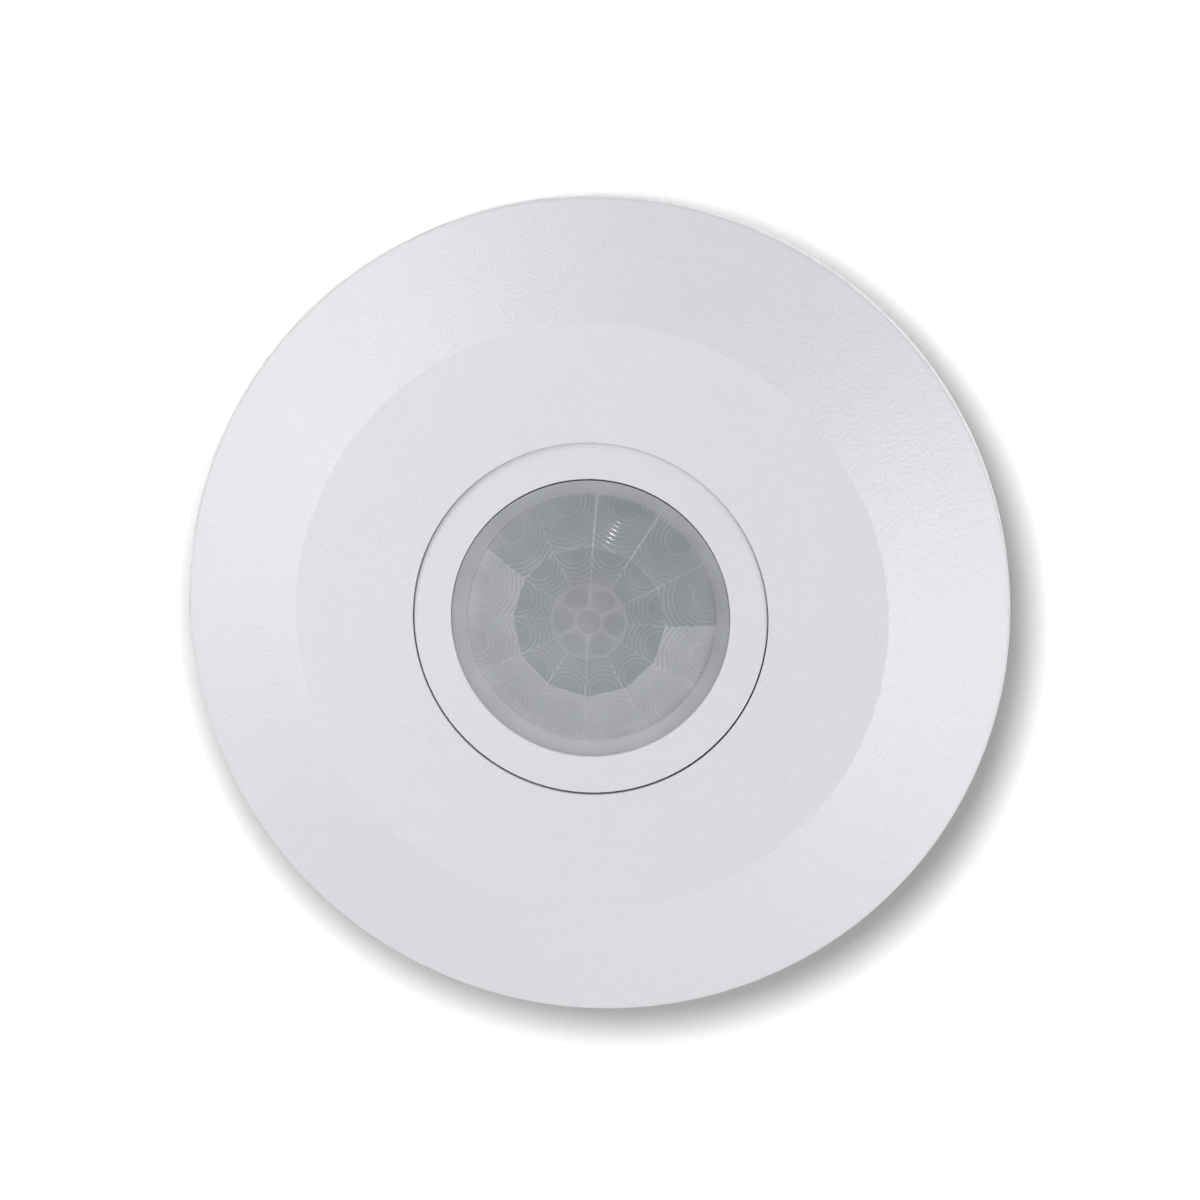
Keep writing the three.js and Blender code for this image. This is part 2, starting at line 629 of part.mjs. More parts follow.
function circuitBoard(bottom, holes) {
  const notchX = POCKET_FACE_X - POCKET_WALL - GAP;
  const notchY = POCKET_HALF_WIDTH + POCKET_WALL + CORNER_MARGIN + GAP;
  const top = bottom + BOARD_THICKNESS;
  const [low, high] = [bottom - OVERSHOOT, top + OVERSHOOT];
  const board = raised(flattedDisc(BOARD_RADIUS, TERMINAL_FLAT_Y + HOUSING_WALL + GAP), bottom, top, 20);
  return cut(board, [
    block([notchX, HOUSING_RADIUS], [-notchY, notchY], [low, high]),
    block([-HOUSING_RADIUS, -notchX], [-notchY, notchY], [low, high]),
    ...BOSS_ANGLES.map((angle) => {
      const [x, y] = onCircle(BOSS_CIRCLE_RADIUS, angle);
      return cylinderZ(BOSS_RADIUS + 0.5, low, high, x, y, 14);
    }),
    ...holes.map(([x, y]) => cylinderZ(POST_PILOT_RADIUS, low, high, x, y, 12)),
  ]);
}

// Passive infrared detector: a metal can with a window let into its top.
function pirCan(bottom) {
  const { radius, brim, brimHeight, height, corner } = PIR_CAN;
  const can = turned([
    [0, 0],
    [brim, 0],
    [brim, brimHeight],
    [radius, brimHeight],
    [radius, height - corner],
    [radius - corner, height],
    [0, height],
  ], 24);
  const [halfWidth, halfDepth] = [PIR_WINDOW.halfWidth + GAP, PIR_WINDOW.halfDepth + GAP];
  const floor = PIR_WINDOW.bottom - GAP;
  const recess = block([-halfWidth, halfWidth], [-halfDepth, halfDepth], [floor, height + OVERSHOOT]);
  return cut(can, [recess]).translate(0, 0, bottom);
}

const domeLamp = (radius, height) => {
  const dome = new THREE.Path();
  dome.moveTo(0, 0);
  dome.lineTo(radius + 0.3, 0);
  dome.lineTo(radius + 0.3, 0.8);
  dome.lineTo(radius, 0.8);
  dome.lineTo(radius, height - radius);
  dome.absarc(0, height - radius, radius, 0, Math.PI / 2);
  return turned(dome.getPoints(2).map((p) => [Math.max(p.x, 0), p.y]), 12);
};

function adjusterDial() {
  const bottom = SENSOR_BOARD_Z + BOARD_THICKNESS + TRIMMER_HEIGHT + 2 * GAP;
  const top = DIAL_TOP_Z;
  const knob = turned([
    [0, bottom],
    [DIAL_RADIUS, bottom],
    [DIAL_RADIUS, top - DIAL_CHAMFER],
    [DIAL_RADIUS - DIAL_CHAMFER, top],
    [0, top],
  ], 24);
  const slot = block(
    [-DIAL_SLOT.halfWidth, DIAL_SLOT.halfWidth],
    [-DIAL_RADIUS - OVERSHOOT, DIAL_RADIUS - DIAL_SLOT.wall],
    [top - DIAL_SLOT.depth, top + OVERSHOOT],
  );
  return cut(knob, [slot]);
}

function pirWindow(canBottom) {
  const { halfWidth, halfDepth, bottom, thickness } = PIR_WINDOW;
  return block(
    [-halfWidth, halfWidth],
    [-halfDepth, halfDepth],
    [canBottom + bottom, canBottom + bottom + thickness],
  );
}

function buildSensorBoard() {
  const top = SENSOR_BOARD_Z + BOARD_THICKNESS + GAP;
  const canBottom = top + PIR_LIFT;
  const lamp = () => domeLamp(LAMP.radius, LAMP.height);
  const chip = raised(roundedRectangle(CHIP.width, CHIP.depth, CHIP.corner), top, top + CHIP.height, 2);
  add('sensor_board', circuitBoard(SENSOR_BOARD_Z, SENSOR_POSTS), CIRCUIT_BOARD);
  add('pir_spacer', cylinderZ(SPACER_RADIUS, top, canBottom - GAP, 0, 0, 24), WHITE_PLASTIC);
  add('pir_sensor', pirCan(canBottom), CAN_METAL);
  add('pir_window', pirWindow(canBottom), FILTER_SILICON);
  add('light_sensor', lamp(), CLEAR_PLASTIC).position.set(-LAMP.x, LAMP.y, top);
  add('indicator_led', lamp(), RED_PLASTIC).position.set(LAMP.x, LAMP.y, top);
  add('control_chip', chip, BLACK_PLASTIC).position.y = CHIP.y;
  DIAL_ANGLES.forEach((angle, i) => {
    const [x, y] = onCircle(DIAL_CIRCLE_RADIUS, angle);
    const body = raised(roundedRectangle(TRIMMER_SIDE, TRIMMER_SIDE, 0.6), top, top + TRIMMER_HEIGHT, 2);
    const trimmer = add(`trimmer_${DIAL_NAMES[i]}`, body, BLUE_PLASTIC);
    trimmer.rotation.z = THREE.MathUtils.degToRad(angle);
    trimmer.position.set(x, y, 0);
    add(`dial_${DIAL_NAMES[i]}`, adjusterDial(), WHITE_PLASTIC).position.set(x, y, 0);
  });
}

// Tall parts hang from the rear side of the power board.
function buildPowerBoard() {
  const top = POWER_BOARD_Z - GAP;
  const boardTop = POWER_BOARD_Z + BOARD_THICKNESS;
  const hung = (name, look, { width, depth, height, x, y, corner = 0.6 }) =>
    add(name, raised(roundedRectangle(width, depth, corner), top - height, top, 3), look)
      .position.set(x, y, 0);
  add('power_board', circuitBoard(POWER_BOARD_Z, POWER_POSTS), CIRCUIT_BOARD);
  const header = block(
    [-HEADER.halfWidth, HEADER.halfWidth],
    [-HEADER.halfDepth, HEADER.halfDepth],
    [boardTop + GAP, SENSOR_BOARD_Z - GAP],
  );
  add('board_header', header, BLACK_PLASTIC).position.y = HEADER.y;
  hung('relay', BLUE_PLASTIC, { width: 20, depth: 10.4, height: 15.2, x: 11, y: 3 });
  hung('film_capacitor', YELLOW_PLASTIC, { width: 17.5, depth: 7, height: 13, x: -12, y: -4.5 });
  hung('varistor', GREEN_PLASTIC, { width: 9.5, depth: 3.6, height: 11, x: 15, y: -7.5, corner: 1.5 });
  hung('bridge_rectifier', BLACK_PLASTIC, { width: 8.5, depth: 6.5, height: 3.2, x: 9, y: 15 });
  const { radius, height, x, y } = BULK_CAPACITOR;
  add('bulk_capacitor', cylinderZ(radius, top - height, top, x, y, 20), BLACK_PLASTIC);
  add('choke', ferriteBobbin(), BLACK_PLASTIC).position.set(-3.5, 14, top);
  const fuse = cylinderX(FUSE.radius, -FUSE.halfLength, FUSE.halfLength, FUSE.y, top - FUSE.drop, 16);
  add('fuse_resistor', fuse, GREEN_PLASTIC).position.x = FUSE.x;
}

// Two flanges and a core, hanging down from z = 0.
function ferriteBobbin() {
  const [flangeRadius, coreRadius, flange, height] = [4.2, 3.2, 1.2, 10];
  return turned([
    [0, -height],
    [flangeRadius, -height],
    [flangeRadius, flange - height],
    [coreRadius, flange - height],
    [coreRadius, -flange],
    [flangeRadius, -flange],
    [flangeRadius, 0],
    [0, 0],
  ], 20);
}

// ---------------------------------------------------------------- terminals

function terminalBlock() {
  const { halfWidth, front, back, bottom, top } = TERMINAL_BLOCK;
  const cell = TERMINAL_CELL;
  const headHole = CLAMP_SCREW.headRadius + GAP + 0.05;
  const shankHole = CLAMP_SCREW.shankRadius + GAP + 0.05;
  const slot = CONTACT.halfWidth + GAP + 0.05;
  const cells = [-1, 0, 1].flatMap((step) => {
    const x = step * TERMINAL_PITCH;
    return [
      block(
        [x - cell.halfWidth, x + cell.halfWidth],
        [front + cell.frontWall, back - cell.backWall],
        [bottom - OVERSHOOT, top - cell.roof],
      ),
      cylinderY(headHole, front - OVERSHOOT, front + 2, x, TERMINAL_AXIS_Z, 16),
      cylinderY(shankHole, front, front + cell.frontWall + OVERSHOOT, x, TERMINAL_AXIS_Z, 12),
      block(
        [x - slot, x + slot],
        [CONTACT.front - GAP, CONTACT.back + GAP],
        [top - cell.roof - OVERSHOOT, top + OVERSHOOT],
      ),
    ];
  });
  return cut(block([-halfWidth, halfWidth], [front, back], [bottom, top]), cells);
}

// The head turns behind the block's front wall, and the thread pulls the cage forward.
function terminalScrew() {
  const headFront = TERMINAL_BLOCK.front + CLAMP_SCREW.inset;
  const headBack = headFront + CLAMP_SCREW.head;
  const slotDepth = 0.7;
  const slotHalf = 0.3;
  const screw = joined([
    cylinderY(CLAMP_SCREW.headRadius, headFront, headBack, 0, TERMINAL_AXIS_Z, 12),
    cylinderY(CLAMP_SCREW.shankRadius, headBack - 0.2, CLAMP_SCREW.tip, 0, TERMINAL_AXIS_Z, 10),
  ]);
  return cut(screw, [block(
    [-CLAMP_SCREW.headRadius - OVERSHOOT, CLAMP_SCREW.headRadius + OVERSHOOT],
    [headFront - OVERSHOOT, headFront + slotDepth],
    [TERMINAL_AXIS_Z - slotHalf, TERMINAL_AXIS_Z + slotHalf],
  )]);
}

function terminalCage() {
  const { halfWidth, front, back, bottom, top, wall } = CAGE;
  const sideWall = wall - 0.15;
  return cut(block([-halfWidth, halfWidth], [front, back], [bottom, top]), [
    block([-halfWidth + sideWall, halfWidth - sideWall], [front + wall, back - wall], [bottom - 1, top + 1]),
    cylinderY(CLAMP_SCREW.shankRadius + GAP, front - 1, front + wall + 0.5, 0, TERMINAL_AXIS_Z, 12),
  ]);
}

function terminalContact() {
  const { halfWidth, front, back, bottom } = CONTACT;
  return block([-halfWidth, halfWidth], [front, back], [bottom, TERMINAL_BLOCK.top]);
}

function buildTerminals() {
  add('terminal_block', terminalBlock(), GREEN_PLASTIC);
  for (const step of [-1, 0, 1]) {
    const x = step * TERMINAL_PITCH;
    const number = step + 2;
    add(`terminal_screw_${number}`, terminalScrew(), SCREW_STEEL).position.x = x;
    add(`terminal_cage_${number}`, terminalCage(), BRASS).position.x = x;
    add(`terminal_contact_${number}`, terminalContact(), BRASS).position.x = x;
  }
}

// ---------------------------------------------------------------- fasteners

// A pan-head screw with a cross recess. It hangs down from z = 0 at the underside of its head.
function panScrew({ headRadius, headHeight, shankRadius, length }) {
  const body = turned([
    [0, headHeight],
    [headRadius * 0.6, headHeight],
    [headRadius, headHeight * 0.45],
    [headRadius, 0],
    [shankRadius, 0],
    [shankRadius, -length + shankRadius],
    [shankRadius * 0.3, -length],
    [0, -length],
  ], 12);
  const reach = headRadius * 0.6;
  const slotHalf = headRadius * 0.12;
  const [low, high] = [headHeight * 0.35, headHeight + 1];
  return cut(body, [
    block([-reach, reach], [-slotHalf, slotHalf], [low, high]),
    block([-slotHalf, slotHalf], [-reach, reach], [low, high]),
  ]);
}

function buildScrews() {
  BOSS_ANGLES.forEach((angle, i) => {
    const [x, y] = onCircle(BOSS_CIRCLE_RADIUS, angle);
    const screw = add(`housing_screw_${i + 1}`, panScrew(HOUSING_SCREW), SCREW_STEEL);
    screw.position.set(x, y, CEILING_Z + FLANGE_THICKNESS + GAP);
  });
  SENSOR_POSTS.forEach(([x, y], i) => {
    const screw = add(`sensor_board_screw_${i + 1}`, panScrew(SENSOR_SCREW), SCREW_STEEL);
    screw.rotation.x = Math.PI;
    screw.position.set(x, y, SENSOR_BOARD_Z - GAP);
  });
  POWER_POSTS.forEach(([x, y], i) => {
    const screw = add(`power_board_screw_${i + 1}`, panScrew(POWER_SCREW), SCREW_STEEL);
    screw.position.set(x, y, POWER_BOARD_Z + BOARD_THICKNESS + GAP);
  });
}

buildFront();
buildHousing();
buildWings();
buildSensorBoard();
buildPowerBoard();
buildTerminals();
buildScrews();

export default sensor;
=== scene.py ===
"""Looks for the flush ceiling motion sensor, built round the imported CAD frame.

Metres, and +Z is the way the lens looks.
"""
import json
import math
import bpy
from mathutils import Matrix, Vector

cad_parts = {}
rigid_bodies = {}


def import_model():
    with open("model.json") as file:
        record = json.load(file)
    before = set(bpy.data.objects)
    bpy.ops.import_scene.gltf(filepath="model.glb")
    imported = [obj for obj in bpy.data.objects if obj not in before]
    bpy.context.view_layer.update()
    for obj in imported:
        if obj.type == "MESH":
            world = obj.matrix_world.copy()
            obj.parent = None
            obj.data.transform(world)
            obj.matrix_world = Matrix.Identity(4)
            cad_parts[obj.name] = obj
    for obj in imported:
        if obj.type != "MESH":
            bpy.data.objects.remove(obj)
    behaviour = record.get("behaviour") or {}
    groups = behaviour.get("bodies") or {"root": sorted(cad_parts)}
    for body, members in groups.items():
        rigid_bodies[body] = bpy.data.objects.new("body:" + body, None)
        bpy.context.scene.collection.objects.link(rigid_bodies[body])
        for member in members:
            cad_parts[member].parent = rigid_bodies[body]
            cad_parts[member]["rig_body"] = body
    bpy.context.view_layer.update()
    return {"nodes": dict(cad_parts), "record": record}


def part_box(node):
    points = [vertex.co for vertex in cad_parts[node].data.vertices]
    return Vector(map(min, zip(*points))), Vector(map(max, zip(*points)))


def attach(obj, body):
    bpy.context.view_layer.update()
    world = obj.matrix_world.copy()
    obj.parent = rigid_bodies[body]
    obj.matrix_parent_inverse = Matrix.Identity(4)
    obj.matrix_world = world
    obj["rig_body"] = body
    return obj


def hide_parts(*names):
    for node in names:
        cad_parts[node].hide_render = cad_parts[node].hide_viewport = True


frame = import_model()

from types import SimpleNamespace

import bmesh
import bpy
import numpy as np
from mathutils import Matrix, Vector

MM = 0.001

# ---------------------------------------------------------------- places read from the frame

cover_low, cover_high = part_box("trim_cover")
bezel_low, bezel_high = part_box("lens_bezel")
lens_low, lens_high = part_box("fresnel_lens")
PLATEAU_Z = cover_high.z
CEILING_Z = cover_low.z
COVER_R = cover_high.x
BEZEL_R = bezel_high.x

# Radii and drops of the front, as the CAD has them.
PLATEAU_R = 39.2 * MM
COVER_HOLE_R = 23.5 * MM
COVER_WALL = 1.8 * MM
RIM_HEIGHT = 4.5 * MM
LENS_OPENING_R = 18.45 * MM


# ---------------------------------------------------------------- camera

CAMERA_TILT = math.radians(12.07)  # away from the sensor's axis
CAMERA_SIDE = math.radians(60.8)  # counter-clockwise from +X
CAMERA_DISTANCE = 0.445
CAMERA_LENS = 101.6
CAMERA_SHIFT = (0.0088, 0.0171)


def axes_matrix(x, y, z, origin):
    return Matrix((
        (x.x, y.x, z.x, origin.x),
        (x.y, y.y, z.y, origin.y),
        (x.z, y.z, z.z, origin.z),
        (0, 0, 0, 1),
    ))


def direction(azimuth, tilt):
    """A direction that leans from +Z by the tilt towards the azimuth."""
    return Vector((
        math.cos(azimuth) * math.sin(tilt),
        math.sin(azimuth) * math.sin(tilt),
        math.cos(tilt),
    ))


def place_camera():
    """A long lens, tilted a little off the sensor's axis towards the upper right."""
    back = direction(CAMERA_SIDE, CAMERA_TILT)
    right = Vector((0, 1, 0)).cross(back).normalized()
    up = back.cross(right)
    data = bpy.data.cameras.new("camera")
    data.lens = CAMERA_LENS
    data.sensor_width = 36
    data.shift_x, data.shift_y = CAMERA_SHIFT
    data.clip_start = 0.01
    data.clip_end = 20
    camera = bpy.data.objects.new("camera", data)
    camera.matrix_world = axes_matrix(right, up, back, Vector((0, 0, PLATEAU_Z)) + back * CAMERA_DISTANCE)
    bpy.context.scene.collection.objects.link(camera)
    bpy.context.scene.camera = camera


# ---------------------------------------------------------------- materials

def new_material(name):
    """A material with an empty Principled shader: (material, nodes, links, shader)."""
    made = bpy.data.materials.new(name)
    made.use_nodes = True
    nodes = made.node_tree.nodes
    nodes.clear()
    output = nodes.new("ShaderNodeOutputMaterial")
    shader = nodes.new("ShaderNodeBsdfPrincipled")
    made.node_tree.links.new(shader.outputs[0], output.inputs[0])
    return made, nodes, made.node_tree.links, shader


def noise(nodes, links, size, detail=3.0, roughness=0.5, stretch=None):
    """Noise with features of about the given size, in object space."""
    where = nodes.new("ShaderNodeTexCoord")
    texture = nodes.new("ShaderNodeTexNoise")
    texture.inputs["Scale"].default_value = 1 / size
    texture.inputs["Detail"].default_value = detail
    texture.inputs["Roughness"].default_value = roughness
    if stretch:
        mapping = nodes.new("ShaderNodeMapping")
        mapping.inputs["Scale"].default_value = stretch
        links.new(where.outputs["Object"], mapping.inputs["Vector"])
        links.new(mapping.outputs[0], texture.inputs["Vector"])
    else:
        links.new(where.outputs["Object"], texture.inputs["Vector"])
    return texture.outputs["Fac"]


def remap(nodes, links, value, low, high):
    """Stretches the middle of a noise over a range."""
    node = nodes.new("ShaderNodeMapRange")
    node.inputs["From Min"].default_value = 0.3
    node.inputs["From Max"].default_value = 0.7
    node.inputs["To Min"].default_value = low
    node.inputs["To Max"].default_value = high
    links.new(value, node.inputs["Value"])
    return node.outputs["Result"]


def tint(nodes, links, value, dark, light):
    """A colour between two, by a value from 0 to 1."""
    node = nodes.new("ShaderNodeMix")
    node.data_type = "RGBA"
    node.inputs["A"].default_value = (*dark, 1)
    node.inputs["B"].default_value = (*light, 1)
    links.new(value, node.inputs["Factor"])
    return node.outputs["Result"]


def bump(nodes, links, shader, value, depth):
    node = nodes.new("ShaderNodeBump")
    node.inputs["Strength"].default_value = 1
    node.inputs["Distance"].default_value = depth
    links.new(value, node.inputs["Height"])
    links.new(node.outputs[0], shader.inputs["Normal"])


def surfaced(name, color, spread=0.03, rough=(0.4, 0.5), grain=0.25 * MM, depth=0.004 * MM,
             metallic=0.0, stretch=None, specular=0.5):
    """A finish whose colour and roughness wander a little, with a fine relief."""
    made, nodes, links, shader = new_material(name)
    broad = noise(nodes, links, 9 * MM, detail=2)
    fine = noise(nodes, links, grain, detail=4, roughness=0.6, stretch=stretch)
    dark = [c * (1 - spread) for c in color]
    light = [min(c * (1 + spread), 1) for c in color]
    links.new(tint(nodes, links, remap(nodes, links, broad, 0, 1), dark, light), shader.inputs["Base Color"])
    links.new(remap(nodes, links, fine, *rough), shader.inputs["Roughness"])
    shader.inputs["Metallic"].default_value = metallic
    shader.inputs["Specular IOR Level"].default_value = specular
    bump(nodes, links, shader, fine, depth)
    return made


# ---------------------------------------------------------------- mesh helpers

def link_mesh(name, vertices, faces, look, sharp=40):
    mesh = bpy.data.meshes.new(name)
    mesh.from_pydata([tuple(v) for v in vertices], [], faces)
    mesh.validate()
    return link(name, mesh, look, sharp)


def link(name, mesh, look, sharp=40):
    """An object with smooth faces that stay crisp along edges sharper than the angle."""
    piece = bpy.data.objects.new(name, mesh)
    bpy.context.scene.collection.objects.link(piece)
    mesh.materials.clear()
    mesh.materials.append(look)
    mesh.polygons.foreach_set("use_smooth", [True] * len(mesh.polygons))
    mesh.set_sharp_from_angle(angle=math.radians(sharp))
    weighted = piece.modifiers.new("weighted", "WEIGHTED_NORMAL")
    weighted.keep_sharp = True
    return piece


def rounded_outline(points, arc_steps=5):
    """Rounds the corners of a closed outline. Each point is (radius, z, fillet)."""
    result = []
    count = len(points)
    for i, (r, z, fillet) in enumerate(points):
        here = Vector((r, z))
        if fillet <= 0:
            result.append((r, z))
            continue
        before = Vector(points[i - 1][:2]) - here
        after = Vector(points[(i + 1) % count][:2]) - here
        half = before.angle(after) / 2
        reach = fillet / math.tan(half)
        bisector = (before.normalized() + after.normalized()).normalized()
        centre = here + bisector * (fillet / math.sin(half))
        spoke = here + before.normalized() * reach - centre
        last_spoke = here + after.normalized() * reach - centre
        turn = spoke.angle_signed(last_spoke)
        for k in range(arc_steps + 1):
            on_arc = centre + Matrix.Rotation(-turn * k / arc_steps, 2) @ spoke
            result.append((on_arc.x, on_arc.y))
    return result


def revolved(name, outline, look, steps):
    """A solid of revolution about Z from a closed outline of (radius, z)."""
    vertices = []
    for r, z in outline:
        for k in range(steps):
            angle = 2 * math.pi * k / steps
            vertices.append((r * math.cos(angle), r * math.sin(angle), z))
    faces = []
    for i in range(len(outline)):
        a = i * steps
        b = (i + 1) % len(outline) * steps
        for k in range(steps):
            n = (k + 1) % steps
            faces.append((a + k, a + n, b + n, b + k))
    piece = link_mesh(name, vertices, faces, look)
    outward(piece.data)
    return piece


def swept(name, path, radius, look, sides=12):
    """A round wire along a path of points, closed at both ends."""
    points = [Vector(p) for p in path]
    vertices, faces = [], []
    up = Vector((0, 1, 0))
    for i, point in enumerate(points):
        along = (points[min(i + 1, len(points) - 1)] - points[max(i - 1, 0)]).normalized()
        side = (up - along * up.dot(along)).normalized()
        up = side
        other = along.cross(side)
        for k in range(sides):
            angle = 2 * math.pi * k / sides
            vertices.append(point + (side * math.cos(angle) + other * math.sin(angle)) * radius)
    for i in range(len(points) - 1):
        a, b = i * sides, (i + 1) * sides
        faces += [(a + k, a + (k + 1) % sides, b + (k + 1) % sides, b + k) for k in range(sides)]
    last = (len(points) - 1) * sides
    faces.append(tuple(range(sides)))
    faces.append(tuple(last + k for k in range(sides)))
    piece = link_mesh(name, vertices, faces, look, sharp=50)
    outward(piece.data)
    return piece


def outward(mesh):
    """Turns every face's normal outwards."""
    shape = bmesh.new()
    shape.from_mesh(mesh)
    bmesh.ops.recalc_face_normals(shape, faces=shape.faces)
    shape.to_mesh(mesh)
    shape.free()


SHARP_EDGE_ANGLE = math.radians(32)  # more than the round surfaces turn from facet to facet
EDGE_ROUNDING = 0.15 * MM


def softened(node, look):
    """A copy of a CAD solid with its edges rounded, standing for that node."""
    shape = bmesh.new()
    shape.from_mesh(frame["nodes"][node].data)
    bmesh.ops.remove_doubles(shape, verts=shape.verts, dist=1e-6)
    bmesh.ops.dissolve_limit(
        shape, angle_limit=math.radians(0.5), verts=shape.verts, edges=shape.edges, delimit=set(),
    )
    edges = [e for e in shape.edges if e.is_manifold and e.calc_face_angle(0) > SHARP_EDGE_ANGLE]
    bmesh.ops.bevel(
        shape, geom=edges, offset=EDGE_ROUNDING, segments=2, profile=0.5, affect="EDGES", clamp_overlap=True,
    )
    mesh = bpy.data.meshes.new(node + "_piece")
    shape.to_mesh(mesh)
    shape.free()
    stand_for(link(node + "_piece", mesh, look, sharp=35), node)


def stand_for(piece, node):
    """Lets a piece take the place of a CAD node, and move with that node's body."""
    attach(piece, frame["nodes"][node]["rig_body"])
    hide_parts(node)


# ---------------------------------------------------------------- finishes

COVER = surfaced("cover_plastic", (0.567, 0.572, 0.599), spread=0.006, rough=(0.36, 0.45),
                 grain=0.45 * MM, depth=0.11 * MM, specular=1.0)
BODY = surfaced("body_plastic", (0.62, 0.62, 0.61), spread=0.015, rough=(0.4, 0.5))
DIAL = surfaced("dial_plastic", (0.66, 0.66, 0.64), spread=0.01, rough=(0.35, 0.45))
RUBBER = surfaced("grey_rubber", (0.10, 0.10, 0.105), spread=0.08, rough=(0.6, 0.75))
ZINC = surfaced("zinc_sheet", (0.50, 0.51, 0.52), spread=0.1, rough=(0.25, 0.42), metallic=1.0,
                grain=0.4 * MM, stretch=(1, 12, 1))
WIRE = surfaced("spring_wire", (0.40, 0.40, 0.41), spread=0.08, rough=(0.22, 0.35), metallic=1.0)
PIN = surfaced("steel_pin", (0.55, 0.55, 0.56), spread=0.05, rough=(0.2, 0.3), metallic=1.0)
SCREW = surfaced("steel_screw", (0.58, 0.57, 0.55), spread=0.08, rough=(0.22, 0.38), metallic=1.0)
BOARD = surfaced("circuit_board", (0.016, 0.13, 0.05), spread=0.15, rough=(0.25, 0.38), grain=1.2 * MM)
BLACK = surfaced("black_plastic", (0.018, 0.018, 0.02), spread=0.1, rough=(0.4, 0.55))
CAN = surfaced("can_metal", (0.56, 0.53, 0.47), spread=0.05, rough=(0.18, 0.3), metallic=1.0)
FILTER = surfaced("filter_silicon", (0.05, 0.02, 0.045), spread=0.2, rough=(0.08, 0.15))
CLEAR = surfaced("clear_plastic", (0.75, 0.77, 0.75), spread=0.02, rough=(0.05, 0.12))
RED = surfaced("red_plastic", (0.42, 0.02, 0.015), spread=0.08, rough=(0.1, 0.18))
BLUE = surfaced("blue_plastic", (0.02, 0.10, 0.38), spread=0.06, rough=(0.3, 0.42))
RELAY = surfaced("relay_plastic", (0.02, 0.09, 0.33), spread=0.06, rough=(0.25, 0.38))
YELLOW = surfaced("yellow_plastic", (0.66, 0.43, 0.04), spread=0.05, rough=(0.3, 0.42))
SLEEVE = surfaced("capacitor_sleeve", (0.015, 0.015, 0.02), spread=0.2, rough=(0.25, 0.4))
VARISTOR = surfaced("varistor_coat", (0.02, 0.09, 0.28), spread=0.1, rough=(0.2, 0.35))
FERRITE = surfaced("ferrite", (0.04, 0.04, 0.042), spread=0.2, rough=(0.5, 0.7))
RESISTOR = surfaced("resistor_coat", (0.13, 0.28, 0.15), spread=0.08, rough=(0.5, 0.7))
TERMINAL = surfaced("terminal_plastic", (0.03, 0.22, 0.09), spread=0.06, rough=(0.4, 0.55))
BRASS = surfaced("plated_brass", (0.62, 0.50, 0.26), spread=0.08, rough=(0.22, 0.38), metallic=1.0)


# ---------------------------------------------------------------- cover and bezel

SMALL_ROUND = 0.2 * MM
EDGE_FILLET = 0.25 * MM
RIM_FILLET = 0.6 * MM
SKIRT_INNER_R = 39.4 * MM
SKIRT_OUTER_R = 40.8 * MM
SKIRT_LIFT = 1 * MM
LIP_WIDTH = 1.5 * MM
LIP_DEPTH = 1.4 * MM


def build_cover():
    rim_top = CEILING_Z + RIM_HEIGHT
    slope = (PLATEAU_Z - rim_top) / (COVER_R - PLATEAU_R)
    inner_r = COVER_R - COVER_WALL
    underside = PLATEAU_Z - COVER_WALL
    bend_r = PLATEAU_R - COVER_WALL * slope / 2
    skirt_bottom = CEILING_Z + SKIRT_LIFT
    lip_r = COVER_HOLE_R + LIP_WIDTH
    lip_bottom = underside - LIP_DEPTH

    def inner_cone(r):
        return underside - (r - bend_r) * slope

    outline = rounded_outline([
        (COVER_HOLE_R, PLATEAU_Z, SMALL_ROUND),
        (PLATEAU_R, PLATEAU_Z, 1.0 * MM),
        (COVER_R, rim_top, RIM_FILLET),
        (COVER_R, CEILING_Z, EDGE_FILLET),
        (inner_r, CEILING_Z, EDGE_FILLET),
        (inner_r, inner_cone(inner_r), 0.6 * MM),
        (SKIRT_OUTER_R, inner_cone(SKIRT_OUTER_R), 0.3 * MM),
        (SKIRT_OUTER_R, skirt_bottom, EDGE_FILLET),
        (SKIRT_INNER_R, skirt_bottom, EDGE_FILLET),
        (SKIRT_INNER_R, inner_cone(SKIRT_INNER_R), 0),
        (bend_r, underside, 0),
        (lip_r, underside, SMALL_ROUND),
        (lip_r, lip_bottom, SMALL_ROUND),
        (COVER_HOLE_R, lip_bottom, SMALL_ROUND),
    ])
    stand_for(revolved("cover_shell", outline, COVER, steps=360), "trim_cover")


BEZEL_WALL = 1.25 * MM
BEZEL_GROWTH = 0.24 * MM  # how much larger the ring's radius looks here than in the CAD
BEZEL_LEAN = math.radians(-1.2)
BEZEL_SHIFT = Vector((0, 0.15 * MM, -0.06 * MM))


def build_bezel():
    """The ring round the lens, a trifle off centre and leaning, so that its gap is wider on one side."""
    top = bezel_high.z
    bottom = bezel_low.z
    outer = BEZEL_R + BEZEL_GROWTH
    outline = rounded_outline([
        (LENS_OPENING_R, top, EDGE_FILLET),
        (outer, top, 0.22 * MM),
        (outer, bottom, SMALL_ROUND),
        (outer - BEZEL_WALL, bottom, SMALL_ROUND),
        (outer - BEZEL_WALL, top - BEZEL_WALL, SMALL_ROUND),
        (LENS_OPENING_R, top - BEZEL_WALL, 0.15 * MM),
    ])
    piece = revolved("bezel_ring", outline, COVER, steps=300)
    pivot = Vector((0, 0, top))
    lean = Matrix.Rotation(BEZEL_LEAN, 4, "X")
    piece.data.transform(Matrix.Translation(pivot + BEZEL_SHIFT) @ lean @ Matrix.Translation(-pivot))
    stand_for(piece, "lens_bezel")


# ---------------------------------------------------------------- lens

